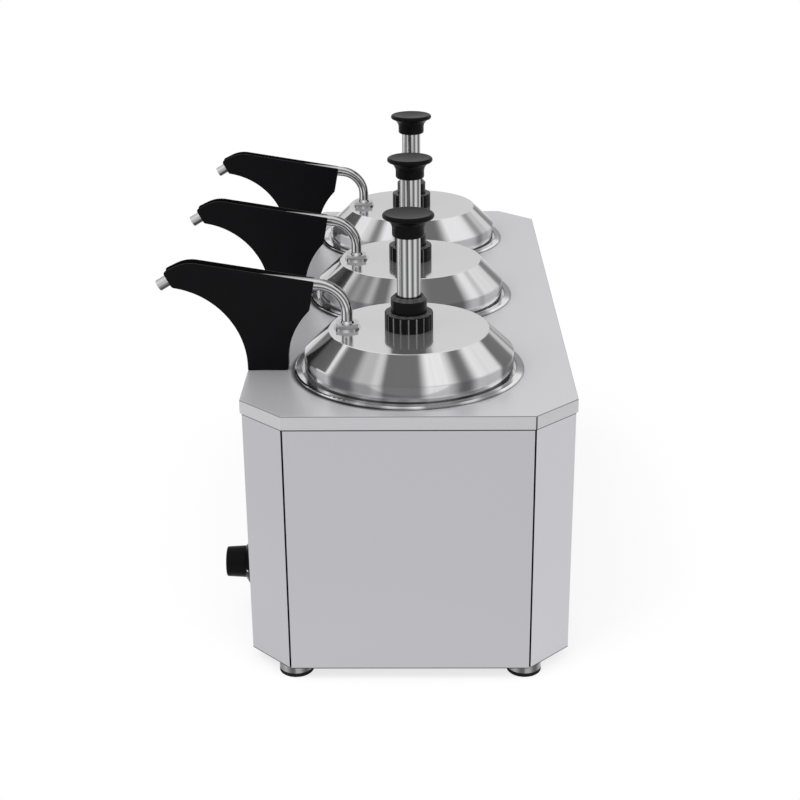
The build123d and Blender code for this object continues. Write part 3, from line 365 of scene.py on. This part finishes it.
def bright_metal(name, colour, roughness, grain=(400, 400, 60)):
    """Polished or drawn metal with faint marks."""
    graph = Graph(name, Metallic=1.0)
    marks = graph.noise(graph.object_place(grain), 1.0, detail=4.0)
    graph.feed("Base Color", graph.tint(colour, graph.range(marks, 0.9, 1.1)))
    graph.feed("Roughness", graph.range(marks, roughness * 0.7, roughness * 1.3))
    graph.bump(marks, 0.000004, 0.3)
    return graph.material


def reflection_striped_metal(name, direction, stripes, roughness, grain=(500, 500, 500)):
    """A polished bar with painted reflections: regular light and dark stripes round it, from one side to the
    other.
    """
    graph = Graph(name, Metallic=1.0)
    marks = graph.noise(graph.object_place(grain), 1.0, detail=3.0)
    rate, dark, light = stripes
    wave = graph.math("SINE", graph.math("MULTIPLY", graph.facing(direction), rate))
    brightness = graph.range(wave, (dark + light) / 2, light)
    graph.feed("Base Color", graph.tint(CHROME_GREY, graph.shade(brightness, graph.range(marks, 0.92, 1.08))))
    graph.feed("Roughness", graph.range(marks, roughness * 0.8, roughness * 1.2))
    return graph.material


def plastic(name, colour, roughness, shine, grain=0.00003, grain_scale=2200):
    """Moulded plastic or rubber with a fine grain. Shine is the strength of its reflection."""
    graph = Graph(name, Metallic=0.0, Specular_IOR_Level=shine)
    grains = graph.noise(graph.object_place((1, 1, 1)), grain_scale, detail=2.0)
    clouds = graph.noise(graph.object_place((1, 1, 1)), 60, detail=2.0)
    graph.feed("Base Color", graph.tint(colour, graph.range(clouds, 0.85, 1.15)))
    graph.feed("Roughness", graph.range(clouds, roughness - 0.05, roughness + 0.05))
    graph.bump(grains, grain, 0.5)
    return graph.material


def collar_plastic(name):
    """Glossy ribbed plastic: a painted highlight line in each groove, and painted highlights on the edges
    above.
    """
    graph = Graph(name, Metallic=0.0, Specular_IOR_Level=0.08)
    around, turns, height = graph.spin_place()
    pitch = graph.math("FRACT", graph.math("MULTIPLY_ADD", turns, GROOVES, 0.5))
    stripes = graph.ramp(pitch, GROOVE_HIGHLIGHT_STOPS)
    ribbed = graph.range(graph.step(height, *RIB_TOP), 1.0, 0.0)
    streaks = graph.noise(around, 9.0, detail=2.0)
    strength = graph.math("MULTIPLY", stripes, GROOVE_HIGHLIGHT_STRENGTH)
    lines = graph.math("MULTIPLY", strength, graph.math("MULTIPLY", ribbed, streaks))
    upward = graph.facing((0, 0, 1))
    edge = graph.math("MULTIPLY", graph.step(upward, 0.3, 0.5), graph.noise(around, 5.0))
    light = graph.math("ADD", lines, graph.math("MULTIPLY", edge, EDGE_HIGHLIGHT))
    graph.feed("Base Color", graph.mix(light, (*COLLAR_BLACK, 1), (1, 1, 1, 1)))
    graph.feed("Roughness", graph.range(streaks, 0.18, 0.30))
    return graph.material


ACROSS_TUBE = (0, 1, 1)
ACROSS_PLUNGER = (0, 1, 0)
ACROSS_NUT = (0.25, 0.97, 0)

MATERIALS = {
    "satin_steel": sheet_metal("satin_steel", PANEL_GREY, ALONG_Z),
    "liner_steel": sheet_metal("liner_steel", LINER_GREY, ALONG_Z, 0.38),
    "jar_steel": jar_metal("jar_steel"),
    "lid_steel": lid_metal("lid_steel", REFLECTION_BAND_OFFSETS["middle"]),
    "pump_steel": bright_metal("pump_steel", PUMP_GREY, 0.28),
    "bright_steel": reflection_striped_metal("bright_steel", ACROSS_TUBE, TUBE_REFLECTION_STRIPES, 0.08),
    "spring_steel": bright_metal("spring_steel", PUMP_GREY, 0.30),
    "heater_sheath": bright_metal("heater_sheath", HEATER_GREY, 0.50),
    "foot_metal": reflection_striped_metal("foot_metal", ACROSS_PLUNGER, FOOT_REFLECTION_STRIPES, 0.22, (300, 300, 900)),
    "foot_rubber": plastic("foot_rubber", RUBBER_BLACK, 0.75, 0.10),
    "black_nylon": plastic("black_nylon", KNOB_BLACK, 0.50, 0.15),
    "cover_plastic": plastic("cover_plastic", COVER_BLACK, 0.42, 0.05),
    "collar_plastic": collar_plastic("collar_plastic"),
    "knob_plastic": plastic("knob_plastic", KNOB_BLACK, 0.30, 0.055),
    "rocker_plastic": plastic("rocker_plastic", KNOB_BLACK, 0.25, 0.15),
    "valve_plastic": plastic("valve_plastic", VALVE_WHITE, 0.45, 0.50),
    "piston_plastic": plastic("piston_plastic", VALVE_WHITE, 0.40, 0.50),
    "thermostat_plastic": plastic("thermostat_plastic", THERMOSTAT_BROWN, 0.50, 0.30),
    "block_plastic": plastic("block_plastic", BLOCK_CREAM, 0.50, 0.50),
}
for part in frame["record"]["subparts"]:
    frame["nodes"][part["node"]].material_slots[0].material = MATERIALS[part["material_slot"]]
frame["nodes"]["deck"].material_slots[0].material = deck_metal("deck_steel")
PLUNGER_STEEL = reflection_striped_metal("plunger_steel", ACROSS_PLUNGER, PLUNGER_REFLECTION_STRIPES, 0.20, (900, 900, 12))
NUT_STEEL = reflection_striped_metal("nut_steel", ACROSS_NUT, NUT_REFLECTION_STRIPES, 0.10)
for station in STATIONS:
    frame["nodes"][f"plunger_tube_{station}"].material_slots[0].material = PLUNGER_STEEL
    frame["nodes"][f"tube_nut_{station}"].material_slots[0].material = NUT_STEEL
    lid_steel = lid_metal(f"lid_steel_{station}", REFLECTION_BAND_OFFSETS[station])
    frame["nodes"][f"lid_{station}"].material_slots[0].material = lid_steel


# ==== marks on the dials and the switch ===================================
DIAL_NUMBERS = ("0", "1", "2", "3", "4", "5", "6", "7", "8", "9")
DIAL_SWEEP = 270.0
DIAL_NUMBER_RADIUS = 0.0173
DIAL_NUMBER_DEPTH = 0.00880
DIAL_SLOPE = atan(4.8 / 7.1)
DIAL_NUMBER_HEIGHT = 0.0042
MARK_THICKNESS = 0.00008


def lettering(body, height):
    """A mesh of one short mark, centred in its own XY plane."""
    curve = bpy.data.curves.new("mark", "FONT")
    curve.body = body
    curve.size = height
    curve.align_x = "CENTER"
    curve.align_y = "CENTER"
    curve.extrude = MARK_THICKNESS
    carrier = bpy.data.objects.new("mark", curve)
    mesh = bpy.data.meshes.new_from_object(carrier)
    bpy.data.objects.remove(carrier)
    return mesh


def join_marks(name, placed, body):
    """One object made of several marks, each with the matrix that puts it in place."""
    points = []
    faces = []
    for mesh, matrix in placed:
        first = len(points)
        points += [matrix @ vertex.co for vertex in mesh.vertices]
        faces += [[first + index for index in face.vertices] for face in mesh.polygons]
    mesh = bpy.data.meshes.new(name)
    mesh.from_pydata(points, [], faces)
    mesh.materials.append(MARK_INK)
    marks = bpy.data.objects.new(name, mesh)
    bpy.context.scene.collection.objects.link(marks)
    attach(marks, body)


def axes_at(place, right, up):
    """The matrix that puts a flat mark at a place, with its right and up directions."""
    right = right.normalized()
    up = up.normalized()
    return Matrix.Translation(place) @ Matrix((right, up, right.cross(up))).transposed().to_4x4()


def add_dial_marks(station):
    """Numbers on the sloped face of one thermostat knob."""
    low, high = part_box(f"thermostat_knob_{station}")
    centre = Vector(((low[0] + high[0]) / 2, low[1], (low[2] + high[2]) / 2))
    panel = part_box("front_panel")[0][1]
    placed = []
    for index, number in enumerate(DIAL_NUMBERS):
        turn = -radians(DIAL_SWEEP * index / (len(DIAL_NUMBERS) - 1))
        outward = Vector((sin(turn), 0, cos(turn)))
        place = centre + DIAL_NUMBER_RADIUS * outward
        place.y = panel - DIAL_NUMBER_DEPTH
        up = cos(DIAL_SLOPE) * outward + sin(DIAL_SLOPE) * Vector((0, 1, 0))
        right = Vector((cos(turn), 0, -sin(turn)))
        placed.append((lettering(number, DIAL_NUMBER_HEIGHT), axes_at(place, right, up)))
    join_marks(f"dial_numbers_{station}", placed, f"dial_{station}")


MARK_INK = plastic("mark_ink", MARK_WHITE, 0.5, 0.3, grain=0.000005)
for station in STATIONS:
    add_dial_marks(station)


# ==== floor, light and camera =============================================
FLOOR_HALF = 6.0
FLOOR_WHITE = (0.92, 0.92, 0.92, 1)
SHADOW_SHARE = 0.25
SHADOW_NEAR = 0.30
SHADOW_FAR = 0.46


def is_seen(tree):
    """1 for rays from the camera, a mirror or glass, and 0 for rays that carry light."""
    path = tree.nodes.new("ShaderNodeLightPath")
    total = path.outputs["Is Camera Ray"]
    for name in ("Is Glossy Ray", "Is Transmission Ray"):
        either = tree.nodes.new("ShaderNodeMath")
        either.operation = "MAXIMUM"
        tree.links.new(total, either.inputs[0])
        tree.links.new(path.outputs[name], either.inputs[1])
        total = either.outputs[0]
    return total


def make_floor():
    """A white floor that shows the object's shadow faintly, close to the object only."""
    mesh = bpy.data.meshes.new("floor")
    corners = [(x * FLOOR_HALF, y * FLOOR_HALF, 0) for x, y in ((-1, -1), (1, -1), (1, 1), (-1, 1))]
    mesh.from_pydata(corners, [], [(0, 1, 2, 3)])
    floor = bpy.data.objects.new("floor", mesh)
    bpy.context.scene.collection.objects.link(floor)
    material = bpy.data.materials.new("floor_white")
    material.use_nodes = True
    tree = material.node_tree
    tree.nodes.clear()
    white = tree.nodes.new("ShaderNodeEmission")
    white.inputs["Color"].default_value = (1, 1, 1, 1)
    lit = tree.nodes.new("ShaderNodeBsdfDiffuse")
    lit.inputs["Color"].default_value = FLOOR_WHITE
    place = tree.nodes.new("ShaderNodeTexCoord").outputs["Object"]
    distance = tree.nodes.new("ShaderNodeVectorMath")
    distance.operation = "LENGTH"
    tree.links.new(place, distance.inputs[0])
    share = tree.nodes.new("ShaderNodeMapRange")
    tree.links.new(distance.outputs["Value"], share.inputs["Value"])
    share.inputs["From Min"].default_value = SHADOW_NEAR
    share.inputs["From Max"].default_value = SHADOW_FAR
    share.inputs["To Min"].default_value = 1 - SHADOW_SHARE
    share.inputs["To Max"].default_value = 1
    seen = tree.nodes.new("ShaderNodeMath")
    seen.operation = "MULTIPLY"
    tree.links.new(share.outputs[0], seen.inputs[0])
    tree.links.new(is_seen(tree), seen.inputs[1])
    mix = tree.nodes.new("ShaderNodeMixShader")
    tree.links.new(seen.outputs[0], mix.inputs["Fac"])
    tree.links.new(lit.outputs["BSDF"], mix.inputs[1])
    tree.links.new(white.outputs["Emission"], mix.inputs[2])
    output = tree.nodes.new("ShaderNodeOutputMaterial")
    tree.links.new(mix.outputs["Shader"], output.inputs["Surface"])
    mesh.materials.append(material)


def make_world():
    """White to the camera. Round the object it is a bright room with darker walls."""
    world = bpy.data.worlds.new("studio")
    bpy.context.scene.world = world
    world.use_nodes = True
    tree = world.node_tree
    background = tree.nodes["Background"]
    place = tree.nodes.new("ShaderNodeTexCoord").outputs["Generated"]
    parts = tree.nodes.new("ShaderNodeSeparateXYZ")
    tree.links.new(place, parts.inputs["Vector"])
    height = tree.nodes.new("ShaderNodeValToRGB")
    tree.links.new(parts.outputs["Z"], height.inputs["Fac"])
    stops = ((0.0, 0.75), (0.12, 0.68), (0.35, 0.80), (0.75, 1.0))
    elements = height.color_ramp.elements
    while len(elements) < len(stops):
        elements.new(0.5)
    for element, (z, brightness) in zip(elements, stops):
        element.position = z
        element.color = (brightness, brightness, brightness, 1)
    path = tree.nodes.new("ShaderNodeLightPath")
    mix = tree.nodes.new("ShaderNodeMixRGB")
    tree.links.new(path.outputs["Is Camera Ray"], mix.inputs["Fac"])
    tree.links.new(height.outputs["Color"], mix.inputs["Color1"])
    mix.inputs["Color2"].default_value = (1, 1, 1, 1)
    tree.links.new(mix.outputs["Color"], background.inputs["Color"])


def softbox(name, place, aim, size, power):
    """A square area light that looks at a point."""
    light = bpy.data.lights.new(name, "AREA")
    light.shape = "SQUARE"
    light.size = size
    light.energy = power
    lamp = bpy.data.objects.new(name, light)
    bpy.context.scene.collection.objects.link(lamp)
    lamp.location = place
    lamp.visible_glossy = False
    lamp.rotation_euler = (Vector(aim) - Vector(place)).to_track_quat("-Z", "Y").to_euler()


def make_camera():
    """The camera at the photograph's place and angle."""
    look = Vector((
        -cos(CAMERA_YAW) * cos(CAMERA_PITCH),
        -sin(CAMERA_YAW) * cos(CAMERA_PITCH),
        -sin(CAMERA_PITCH),
    ))
    right = look.cross(Vector((0, 0, 1))).normalized()
    up = right.cross(look)
    turned_right = cos(CAMERA_ROLL) * right + sin(CAMERA_ROLL) * up
    turned_up = cos(CAMERA_ROLL) * up - sin(CAMERA_ROLL) * right
    data = bpy.data.cameras.new("camera")
    data.lens = CAMERA_LENS
    data.sensor_width = 36.0
    camera = bpy.data.objects.new("camera", data)
    bpy.context.scene.collection.objects.link(camera)
    turn = Matrix((turned_right, turned_up, -look)).transposed().to_4x4()
    camera.matrix_world = Matrix.Translation(CAMERA_PLACE) @ turn
    bpy.context.scene.camera = camera


make_floor()
make_world()
softbox("key_light", (0.9, -1.1, 1.9), (0, 0, 0.2), 1.4, 22)
softbox("fill_light", (0.8, 1.5, 1.4), (0, 0, 0.2), 1.6, 12)
make_camera()
bpy.context.scene.view_settings.view_transform = "Standard"
